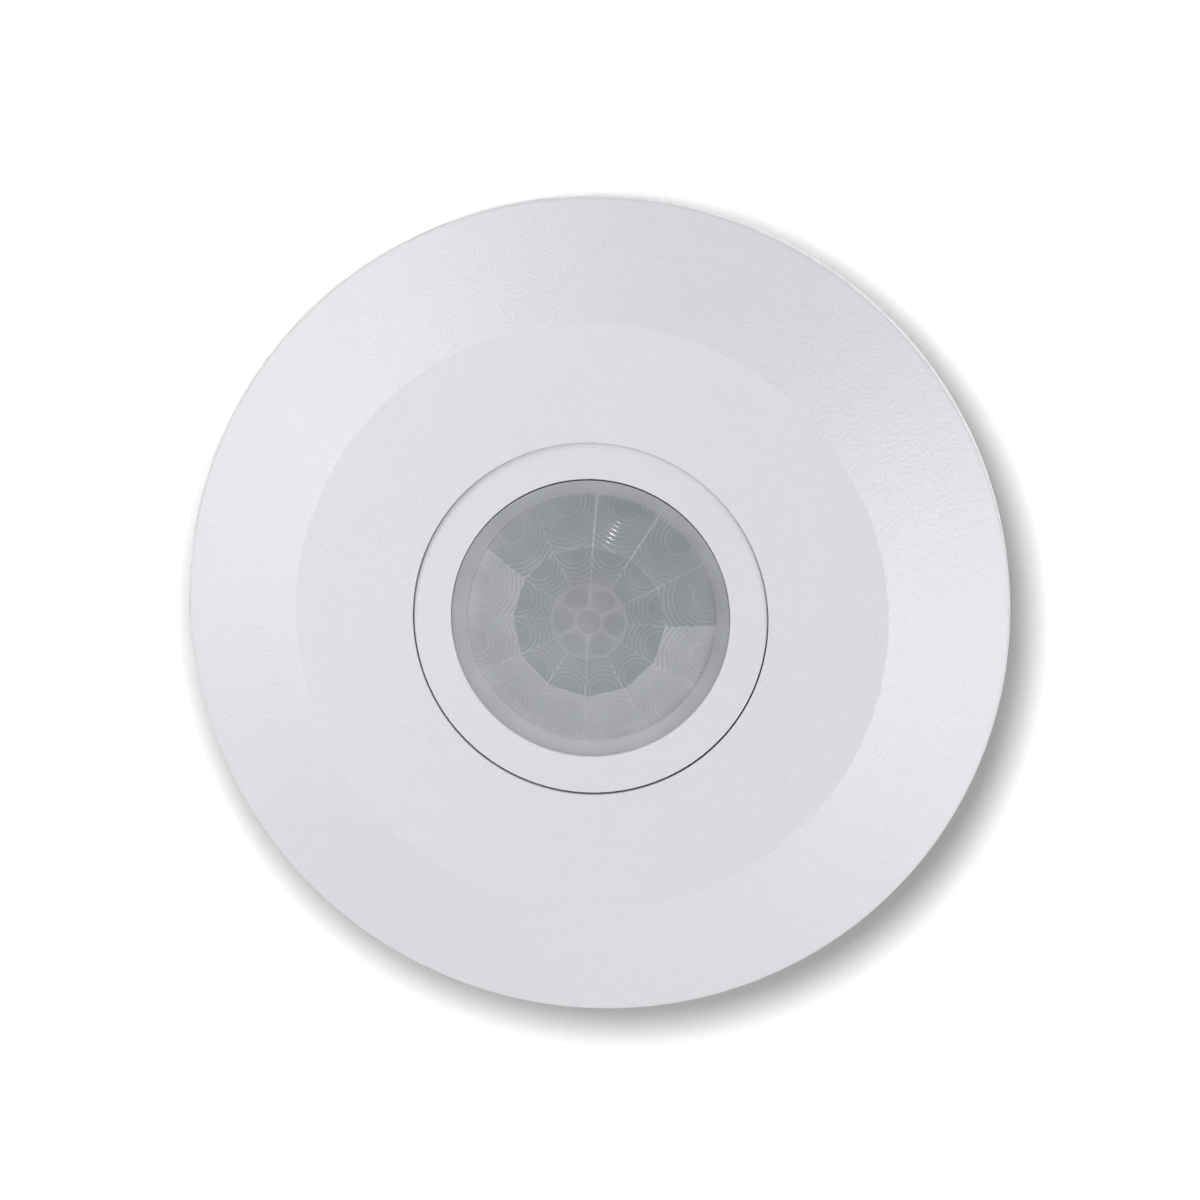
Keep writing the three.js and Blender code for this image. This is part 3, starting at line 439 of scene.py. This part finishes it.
FACETS = 12
FACET_TURN = 2 * math.pi / FACETS
PETAL_TURN = 2 * FACET_TURN
PHASE = math.radians(-3)
SHOULDER_R = 10.1 * MM  # corners of the twelve-sided middle
APOTHEM = SHOULDER_R * math.cos(FACET_TURN / 2)
INNER_R = 4.95 * MM  # outer edge of the six petals
PETAL_MIDDLE_R = 3.4 * MM
HUB_R = 1.68 * MM
FOOT_R = 16.5 * MM  # where the facets meet the dished rim
LENS_EDGE_R = 18.43 * MM
LENS_FLANGE_R = lens_high.x
LENS_WALL = 0.85 * MM
CROWN = PLATEAU_Z + 0.86 * MM
SHOULDER_Z = PLATEAU_Z + 0.68 * MM
LENS_RIM_Z = PLATEAU_Z - 0.75 * MM
LENS_LEDGE_Z = PLATEAU_Z - 1.9 * MM
FOOT_UNDERSIDE_Z = PLATEAU_Z - 3.5 * MM
FACET_SLOPE = math.tan(math.radians(25))
RIDGE_HEIGHT = 0.04 * MM
RIDGE_HALF_WIDTH = 0.16 * MM
EDGE_ROUND = 0.1 * MM

# Grooves run in rings round a point on each facet's middle line, outside a clear disc, and steepen outwards.
OUTER_RINGS = SimpleNamespace(
    centre=15.9 * MM, clear=2.0 * MM, pitch=0.6 * MM, fade=6.5 * MM, steepness=0.017,
)
MIDDLE_RINGS = SimpleNamespace(
    centre=APOTHEM, clear=1.9 * MM, pitch=0.58 * MM, fade=6.0 * MM, steepness=0.008,
)

# The sheet's tone runs from 0 (grey) to 1 (pale); besides the lens's own pattern it carries painted light
# and shade.
FACET_TONE = 0.12
PAINTED_LIGHT_FACET_TONE = 0.32
PAINTED_LIGHT_SIDE = math.radians(252)  # the facets round this side are painted paler: painted light
MIDDLE_TONE = 0.15
RIM_TONE = 0.62
LINE_TONE = 0.12
RIDGE_TONE = 0.14
UNDERSIDE_TONE = 0.4
LIT_SIDE = math.radians(72)


def lens_material():
    """Milky polythene: three attributes carry the sheet's tone, which holds painted light and shade as well
    as its pattern, how reddish it looks and how glossy it looks.
    """
    made, nodes, links, shader = new_material("lens_plastic")
    fine = noise(nodes, links, 0.3 * MM, detail=3)
    cloud = noise(nodes, links, 3.5 * MM, detail=3)
    cloudy = nodes.new("ShaderNodeMath")
    cloudy.operation = "ADD"
    links.new(attribute(nodes, "tone"), cloudy.inputs[0])
    links.new(remap(nodes, links, cloud, -0.05, 0.05), cloudy.inputs[1])
    color = tint(nodes, links, cloudy.outputs[0], (0.19, 0.200, 0.217), (0.43, 0.436, 0.458))
    warmed = nodes.new("ShaderNodeMix")
    warmed.data_type = "RGBA"
    warmed.inputs["B"].default_value = (0.36, 0.27, 0.29, 1)
    links.new(attribute(nodes, "warmth"), warmed.inputs["Factor"])
    links.new(color, warmed.inputs["A"])
    links.new(warmed.outputs["Result"], shader.inputs["Base Color"])
    links.new(remap(nodes, links, fine, 0.40, 0.52), shader.inputs["Roughness"])
    links.new(attribute(nodes, "polish"), shader.inputs["Coat Weight"])
    shader.inputs["Specular IOR Level"].default_value = 0.35
    shader.inputs["Coat Roughness"].default_value = 0.11
    bump(nodes, links, shader, fine, 0.002 * MM)
    return made


def attribute(nodes, name):
    node = nodes.new("ShaderNodeAttribute")
    node.attribute_name = name
    return node.outputs["Fac"]


def towards(azimuth, side):
    """1 on the given side of the lens, -1 on the opposite one."""
    return np.cos(azimuth - side)


def near(distance, width):
    return np.clip(1 - np.abs(distance) / width, 0, 1)


def angle_from_middle(azimuth, turn, phase):
    """Angle from the middle line of the sector that an azimuth falls in."""
    angle = azimuth - phase
    return angle - (np.floor(angle / turn) + 0.5) * turn


def lens_places(x, y):
    """Where each point lies: in the twelve-sided middle, on an outer facet, or on the dished rim."""
    radius = np.hypot(x, y)
    azimuth = np.arctan2(y, x)
    off = angle_from_middle(azimuth, FACET_TURN, PHASE)
    along = radius * np.cos(off)
    middle = along < APOTHEM
    rim = radius > FOOT_R * 1.0001
    return SimpleNamespace(
        radius=radius, azimuth=azimuth, off=off, along=along, across=radius * np.sin(off),
        petal_off=angle_from_middle(azimuth, PETAL_TURN, PHASE + FACET_TURN),
        middle=middle, rim=rim, outer=~middle & ~rim,
    )


def base_height(at):
    """A flat crown, twelve sloping facets, then the dish up to the rim."""
    crown_z = CROWN - (CROWN - SHOULDER_Z) * (at.along / APOTHEM) ** 2
    facet_z = SHOULDER_Z - (at.along - APOTHEM) * FACET_SLOPE
    foot_z = SHOULDER_Z - (FOOT_R * np.cos(at.off) - APOTHEM) * FACET_SLOPE
    share = np.clip((at.radius - FOOT_R) / (LENS_EDGE_R - FOOT_R), 0, 1)
    rim_z = foot_z + (LENS_RIM_Z - foot_z) * share ** 0.8
    return np.where(at.middle, crown_z, np.where(at.outer, facet_z, rim_z))


def base_tone(at):
    facet_middle = at.azimuth - at.off
    # The facets on one side are painted paler: painted light.
    painted_light_facets = np.where(towards(facet_middle, PAINTED_LIGHT_SIDE) > -0.25, PAINTED_LIGHT_FACET_TONE, 0)
    # The facets that face left and right are painted darker: painted shade.
    painted_shade_end_on = 0.11 * np.abs(towards(facet_middle, math.radians(-5))) ** 6
    outer = FACET_TONE + painted_light_facets - painted_shade_end_on
    # The middle is painted lighter towards 240 degrees and darker opposite: painted light and shade.
    middle = MIDDLE_TONE + 0.07 * towards(at.azimuth, math.radians(240))
    # The rim is painted lighter towards 280 degrees and darker on the left and right: painted light and
    # shade.
    rim = RIM_TONE + 0.13 * towards(at.azimuth, math.radians(280)) - 0.20 * np.cos(at.azimuth) ** 2
    return np.where(at.rim, rim, np.where(at.outer, outer, middle))


def grooves(at, mask, rings):
    """(height, tone) added by the grooves and the clear disc of each facet."""
    distance = np.hypot(at.along - rings.centre, at.across)
    turns = (distance - rings.clear) / rings.pitch
    share = turns - np.floor(turns)
    grooved = distance > rings.clear
    line = np.where(grooved, np.cos(2 * math.pi * share), near(distance - rings.clear, 0.2 * MM))
    weak = np.clip(1.15 - distance / rings.fade, 0.3, 1)
    disc = np.clip((rings.clear - distance) / (0.15 * MM), 0, 1)
    drop = rings.steepness * distance * share ** 2
    height = np.where(mask & grooved, -drop, 0)
    tone = np.where(mask, LINE_TONE * line * weak - 0.05 * disc, 0)
    return height, tone


def petal_tone(at):
    """Six petals round the hub, each paler round its edge."""
    petals = at.middle & (at.radius <= INNER_R) & (at.radius > HUB_R)
    shape = np.hypot((at.radius - PETAL_MIDDLE_R) / (1.4 * MM), at.petal_off / math.radians(26))
    edge = np.where(petals, np.clip((shape - 0.9) * 0.9, -0.02, 0.08), 0)
    hub_edge = 0.14 * near(at.radius - HUB_R, 0.22 * MM)
    outer_edge = np.where(at.middle, 0.10 * near(at.radius - INNER_R, 0.2 * MM), 0)
    return edge + hub_edge + outer_edge


def ridges(at):
    """(height, tone) of the ridges: one between each two facets, every second one running in to the hub."""
    from_ridge = at.radius * np.sin(FACET_TURN / 2 - np.abs(at.off))
    from_long_ridge = at.radius * np.sin(PETAL_TURN / 2 - np.abs(at.petal_off))
    ridge = near(np.where(at.radius > INNER_R, from_ridge, from_long_ridge), RIDGE_HALF_WIDTH)
    ridge = ridge * (at.radius > HUB_R) * ~at.rim
    # The ridges on the side towards LIT_SIDE get a painted highlight.
    lit = 0.45 * np.clip(towards(at.azimuth, LIT_SIDE), 0, 1) ** 8
    return RIDGE_HEIGHT * ridge, (RIDGE_TONE + lit * at.outer) * ridge


def foot_painted_light(at):
    """Painted light in the valley where the facets meet the rim, against the shade there: soft on the
    lower-left side, and a fine painted highlight line on the other.
    """
    from_foot = at.radius - FOOT_R
    lower_left_painted_light = np.clip(towards(at.azimuth, math.radians(230)) + 0.5, 0, 1)
    other_side = np.clip(0.35 + 0.65 * towards(at.azimuth, math.radians(50)), 0, 1)
    soft = 0.3 * near(from_foot, 1.9 * MM) * lower_left_painted_light
    fine = 0.28 * near(from_foot, 0.13 * MM) * other_side
    return soft + 0.15 * near(from_foot, 0.6 * MM) + fine


def shoulder_tone(at):
    """The facets are paler next to the middle, and end there in a fine painted highlight line that is
    brighter on the side towards 115 degrees.
    """
    from_shoulder = at.along - APOTHEM
    line = 0.12 + 0.12 * np.clip(towards(at.azimuth, math.radians(115)), 0, 1)
    tone = line * near(from_shoulder, 0.14 * MM) + 0.12 * near(from_shoulder, 2.8 * MM)
    return np.where(at.middle, 0, tone)


def lens_surface(x, y):
    """(height, tone) of the lens's outer surface."""
    at = lens_places(x, y)
    outer_z, outer_tone = grooves(at, at.outer, OUTER_RINGS)
    middle_z, middle_tone = grooves(at, at.middle & (at.radius > INNER_R), MIDDLE_RINGS)
    ridge_z, ridge_tone = ridges(at)
    height = base_height(at) + outer_z + middle_z + ridge_z
    tone = base_tone(at) + outer_tone + middle_tone + ridge_tone
    tone = tone + petal_tone(at) + foot_painted_light(at) + shoulder_tone(at)
    return height, np.clip(tone, 0, 1)


def ring_radii(angle):
    """Radii of the mesh's rings: round the hub, twelve-sided at the shoulder, round again from the foot."""
    off = (angle - PHASE) % FACET_TURN - FACET_TURN / 2
    polygon = math.cos(FACET_TURN / 2) / np.cos(off)
    rings = []
    for share in np.linspace(0, 1, 96)[1:]:
        blend = np.clip((share * SHOULDER_R - INNER_R) / (SHOULDER_R - INNER_R), 0, 1)
        rings.append(share * SHOULDER_R * (1 - blend + blend * polygon))
    for share in np.linspace(0, 1, 84)[1:]:
        rings.append(SHOULDER_R * polygon * (1 - share) + FOOT_R * share)
    for share in np.linspace(0, 1, 14)[1:]:
        rings.append(np.full_like(angle, FOOT_R + (LENS_EDGE_R - EDGE_ROUND - FOOT_R) * share))
    return rings


def lens_points(angle):
    """(points, tones) from the crown out to the edge, then back under the sheet."""
    points = [np.array([[0, 0, CROWN]])]
    tones = [np.array([MIDDLE_TONE])]
    rings = ring_radii(angle)
    for radius in rings:
        x = radius * np.cos(angle)
        y = radius * np.sin(angle)
        z, tone = lens_surface(x, y)
        points.append(np.stack([x, y, z], 1))
        tones.append(tone)
    underside = [
        (LENS_EDGE_R, LENS_RIM_Z - EDGE_ROUND),
        (LENS_EDGE_R, LENS_LEDGE_Z),
        (LENS_FLANGE_R, LENS_LEDGE_Z),
        (LENS_FLANGE_R, LENS_LEDGE_Z - LENS_WALL),
        (LENS_EDGE_R - LENS_WALL, LENS_LEDGE_Z - LENS_WALL),
        (FOOT_R - LENS_WALL / 3, FOOT_UNDERSIDE_Z),
        (SHOULDER_R, SHOULDER_Z - LENS_WALL),
    ]
    for r, z in underside:
        points.append(np.stack([r * np.cos(angle), r * np.sin(angle), np.full_like(angle, z)], 1))
        tones.append(np.full_like(angle, UNDERSIDE_TONE))
    points.append(np.array([[0, 0, CROWN - LENS_WALL]]))
    tones.append(np.array([UNDERSIDE_TONE]))
    return np.concatenate(points), np.concatenate(tones)


def polar_faces(steps, point_count):
    """Faces between rings of points that start and end in a single point on the axis."""
    last = point_count - 1
    faces = [(0, 1 + k, 1 + (k + 1) % steps) for k in range(steps)]
    for a in range(1, last - steps, steps):
        b = a + steps
        faces += [(a + k, b + k, b + (k + 1) % steps, a + (k + 1) % steps) for k in range(steps)]
    a = last - steps
    faces += [(a + k, last, a + (k + 1) % steps) for k in range(steps)]
    return faces


def spot(points, x, y, reach):
    """1 at a place on the lens, fading away from it."""
    return np.exp(-((points[:, 0] - x) ** 2 + (points[:, 1] - y) ** 2) / reach ** 2)


def build_lens():
    steps = 720
    angle = np.arange(steps) * 2 * math.pi / steps + PHASE
    points, tones = lens_points(angle)
    mesh = bpy.data.meshes.new("lens_segments")
    mesh.from_pydata(points.tolist(), [], polar_faces(steps, len(points)))
    layers = {
        "tone": tones,
        # The detector and the lamp behind the sheet show through as a faint reddish patch.
        "warmth": 0.22 * spot(points, 0.3 * MM, 2.2 * MM, 2.6 * MM),
        # The sheet is glossiest round one spot, which keeps the small lamp's glint on that facet.
        "polish": 0.04 + 0.9 * spot(points, 2.9 * MM, 11.8 * MM, 1.5 * MM),
    }
    for name, values in layers.items():
        layer = mesh.attributes.new(name, "FLOAT", "POINT")
        layer.data.foreach_set("value", values.astype(np.float32))
    piece = link("lens_segments", mesh, lens_material(), sharp=12)
    stand_for(piece, "fresnel_lens")


# ---------------------------------------------------------------- wing springs

WING_PIVOT = Vector((30 * MM, 0, 29 * MM))
COIL_R = 1.85 * MM
COIL_HALF_WIDTH = 3.4 * MM
COIL_TURNS = 4.25
SPRING_WIRE_R = 0.35 * MM
FIXED_LEG = 8.5 * MM
MOVING_LEG = 9.0 * MM
MOVING_LEG_RISE = 1.05 * MM


def coil_path(steps=240):
    """The coil round the pin, then the leg that bears on the pocket, seen from the pivot."""
    path = []
    for i in range(steps + 1):
        share = i / steps
        angle = math.pi - (1 - share) * COIL_TURNS * 2 * math.pi
        path.append((COIL_R * math.cos(angle), COIL_HALF_WIDTH * (2 * share - 1), COIL_R * math.sin(angle)))
    for share in (0.5, 1):
        path.append((-COIL_R, COIL_HALF_WIDTH, -FIXED_LEG * share))
    return path


def leg_path(steps=6):
    """The leg that lies under the wing, seen from the pivot."""
    start = Vector((0, -COIL_HALF_WIDTH, COIL_R))
    end = start + Vector((MOVING_LEG, 0, MOVING_LEG_RISE))
    return [start.lerp(end, k / steps) for k in range(steps + 1)]


def build_springs():
    for side, sign in (("right", 1), ("left", -1)):
        def placed(path):
            return [(sign * (WING_PIVOT.x + x), sign * y, WING_PIVOT.z + z) for x, y, z in path]

        coil = swept(f"spring_coil_{side}", placed(coil_path()), SPRING_WIRE_R, WIRE)
        stand_for(coil, f"clip_spring_{side}")
        leg = swept(f"spring_leg_{side}", placed(leg_path()), SPRING_WIRE_R, WIRE)
        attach(leg, frame["nodes"][f"wing_clip_{side}"]["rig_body"])


# ---------------------------------------------------------------- every other CAD solid, with rounded edges

FINISH_OF = {
    "body_plastic": BODY, "dial_plastic": DIAL, "grey_rubber": RUBBER, "zinc_sheet": ZINC,
    "spring_wire": WIRE, "steel_pin": PIN, "steel_screw": SCREW, "circuit_board": BOARD,
    "black_plastic": BLACK, "can_metal": CAN, "filter_silicon": FILTER, "clear_plastic": CLEAR,
    "red_plastic": RED, "blue_plastic": BLUE, "relay_plastic": RELAY, "yellow_plastic": YELLOW,
    "capacitor_sleeve": SLEEVE, "varistor_coat": VARISTOR, "ferrite": FERRITE,
    "resistor_coat": RESISTOR, "terminal_plastic": TERMINAL, "plated_brass": BRASS,
}
REBUILT = {"trim_cover", "lens_bezel", "fresnel_lens", "clip_spring_right", "clip_spring_left"}


def build_rest():
    for entry in frame["record"]["subparts"]:
        node = entry["node"]
        slot = entry["material_slot"]
        if node not in REBUILT:
            softened(node, FINISH_OF[slot])


# ---------------------------------------------------------------- studio

WARM_WHITE = (1.0, 0.995, 0.98)

# Azimuth is counter-clockwise from +X and tilt is from the axis of the lens, in degrees.
# Radiance is in W/(m2 sr).
SOFT_LIGHTS = (
    {
        "name": "left_softbox", "azimuth": 161, "tilt": 46, "distance": 0.37, "size": (0.50, 0.16),
        "radiance": 4.25,
    },
    {
        "name": "right_softbox", "azimuth": -15, "tilt": 46, "distance": 0.8, "size": (0.86, 0.34),
        "radiance": 5.15,
    },
    {
        "name": "front_softbox", "azimuth": -95, "tilt": 55, "distance": 0.8, "size": (0.50, 0.20),
        "radiance": 2.3,
    },
    {
        "name": "small_lamp", "azimuth": 82.2, "tilt": 28.1, "distance": 1.0, "size": (0.018, 0.018),
        "radiance": 420,
    },
)
FLOOR_LIGHT = {
    "name": "shadow_key", "azimuth": 77.3, "tilt": 14, "distance": 0.3125, "size": (0.061, 0.061),
    "radiance": 334,
}


def area_light(name, azimuth, tilt, distance, size, radiance, shape="RECTANGLE"):
    """A light aimed at the middle of the sensor's front."""
    data = bpy.data.lights.new(name, "AREA")
    data.shape = shape
    data.size, data.size_y = size
    area = size[0] * size[1] * (1 if shape == "RECTANGLE" else math.pi / 4)
    data.energy = radiance * area * math.pi
    data.color = WARM_WHITE
    light = bpy.data.objects.new(name, data)
    side = math.radians(azimuth)
    back = direction(side, math.radians(tilt))
    across = Vector((-math.sin(side), math.cos(side), 0))
    centre = Vector((0, 0, PLATEAU_Z)) + back * distance
    light.matrix_world = axes_matrix(across, back.cross(across), back, centre)
    bpy.context.scene.collection.objects.link(light)
    return light


def build_floor():
    half = 3.0
    mesh = bpy.data.meshes.new("floor")
    mesh.from_pydata(
        [(-half, -half, 0), (half, -half, 0), (half, half, 0), (-half, half, 0)], [], [(0, 1, 2, 3)],
    )
    floor = bpy.data.objects.new("floor", mesh)
    bpy.context.scene.collection.objects.link(floor)
    made, _, _, shader = new_material("floor")
    shader.inputs["Base Color"].default_value = (0.395, 0.395, 0.397, 1)
    shader.inputs["Roughness"].default_value = 0.9
    shader.inputs["Specular IOR Level"].default_value = 0.0
    mesh.materials.append(made)
    return floor


def build_studio():
    """Soft boxes light the sensor. The key light only reaches the floor, for a shadow close to the rim."""
    floor = build_floor()
    build_world()
    floor_only = bpy.data.collections.new("floor_only")
    floor_only.objects.link(floor)
    key = area_light(**FLOOR_LIGHT, shape="ELLIPSE")
    key.light_linking.receiver_collection = floor_only
    for soft_light in SOFT_LIGHTS:
        area_light(**soft_light)
    bpy.context.scene.view_settings.view_transform = "Standard"
    bpy.context.scene.view_settings.look = "None"


def build_world():
    """A white tent: dim overhead, with walls that get brighter towards the horizon."""
    world = bpy.data.worlds.new("studio")
    world.use_nodes = True
    nodes, links = world.node_tree.nodes, world.node_tree.links
    where = nodes.new("ShaderNodeTexCoord")
    split = nodes.new("ShaderNodeSeparateXYZ")
    walls = nodes.new("ShaderNodeMapRange")
    walls.interpolation_type = "SMOOTHSTEP"
    walls.inputs["From Min"].default_value = 0.68
    walls.inputs["From Max"].default_value = 0.52
    walls.inputs["To Min"].default_value = 0.13
    walls.inputs["To Max"].default_value = 0.72
    links.new(where.outputs["Generated"], split.inputs[0])
    links.new(split.outputs["Z"], walls.inputs["Value"])
    background = nodes["Background"]
    background.inputs["Color"].default_value = (0.97, 0.985, 1, 1)
    links.new(walls.outputs["Result"], background.inputs["Strength"])
    bpy.context.scene.world = world


place_camera()
build_cover()
build_bezel()
build_lens()
build_springs()
build_rest()
build_studio()
